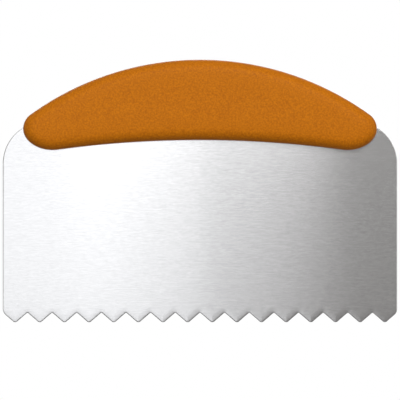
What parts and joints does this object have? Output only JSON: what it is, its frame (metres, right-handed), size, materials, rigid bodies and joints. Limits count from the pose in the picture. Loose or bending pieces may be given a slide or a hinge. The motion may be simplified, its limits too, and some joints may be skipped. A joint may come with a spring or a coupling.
{
  "type": "cake comb",
  "caption": "Cake comb: a flat steel blade with round upper corners and a toothed lower edge, in a crescent-shaped moulded plastic handle, for drawing lines in icing.",
  "frame": {"origin": "on the line of the tooth tips, under the middle of the blade and in its mid plane", "axes": "+X along the row of teeth, +Y from the front to the back through the sheet, +Z from the teeth up to the handle"},
  "size_m": [0.15, 0.012, 0.0998],
  "materials": {
    "blade_steel": "stainless sheet, brushed along its width, edges tumbled",
    "handle_plastic": "orange-ochre moulded plastic with a fine matte grain"
  },
  "bodies": {
    "root": {"blade": "blade_steel", "handle_front_shell": "handle_plastic", "handle_back_shell": "handle_plastic"}
  },
  "joints": []
}
